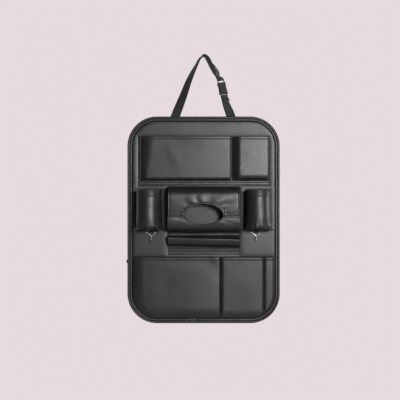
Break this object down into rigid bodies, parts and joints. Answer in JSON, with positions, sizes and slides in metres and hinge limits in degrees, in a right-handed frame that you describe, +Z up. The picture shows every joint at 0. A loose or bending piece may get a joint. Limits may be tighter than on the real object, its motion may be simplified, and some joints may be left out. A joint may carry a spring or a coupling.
{
  "type": "car seat back organizer",
  "caption": "Padded leatherette panel that hangs behind a car seat, with sewn pockets, cup holders, a tissue pouch, hooks and a buckled strap.",
  "frame": {"origin": "centre of the panel's flat back face", "axes": "+X right as the organizer is faced, +Y backwards out of the back face, +Z up along the panel's height"},
  "size_m": [0.4227, 0.0853, 0.7406],
  "materials": {
    "leatherette": "satin",
    "lining": "matte",
    "board": "matte",
    "webbing": "matte",
    "fastener": "matte",
    "buckle": "satin",
    "hook_metal": "polished"
  },
  "bodies": {
    "organizer": {"back_sheet": "lining", "stiffener_board": "board", "front_sheet": "leatherette", "edge_binding": "leatherette", "upper_left_pocket": "leatherette", "upper_right_pocket": "leatherette", "middle_seam_strip": "leatherette", "tissue_sleeve": "leatherette", "tissue_flap": "leatherette", "lower_left_pocket": "leatherette", "lower_right_pocket": "leatherette", "left_cup_holder": "leatherette", "left_cup_base": "leatherette", "left_hook_tab": "webbing", "left_flap_fastener": "fastener", "left_sleeve_fastener": "fastener", "right_cup_holder": "leatherette", "right_cup_base": "leatherette", "right_hook_tab": "webbing", "right_flap_fastener": "fastener", "right_sleeve_fastener": "fastener", "upper_strap": "webbing", "lower_strap": "webbing", "buckle_socket": "buckle", "buckle_plug": "buckle", "left_side_tab": "webbing"},
    "left_hook": {"left_hook": "hook_metal"},
    "right_hook": {"right_hook": "hook_metal"}
  },
  "joints": [
    {"name": "left_hook_swing", "type": "hinge", "parent": "organizer", "child": "left_hook", "pos_m": [-0.14425, -0.0112, -0.033], "axis": [-1, 0, 0], "range_deg": [0, 60]},
    {"name": "right_hook_swing", "type": "hinge", "parent": "organizer", "child": "right_hook", "pos_m": [0.14425, -0.0112, -0.033], "axis": [-1, 0, 0], "range_deg": [0, 60]}
  ]
}
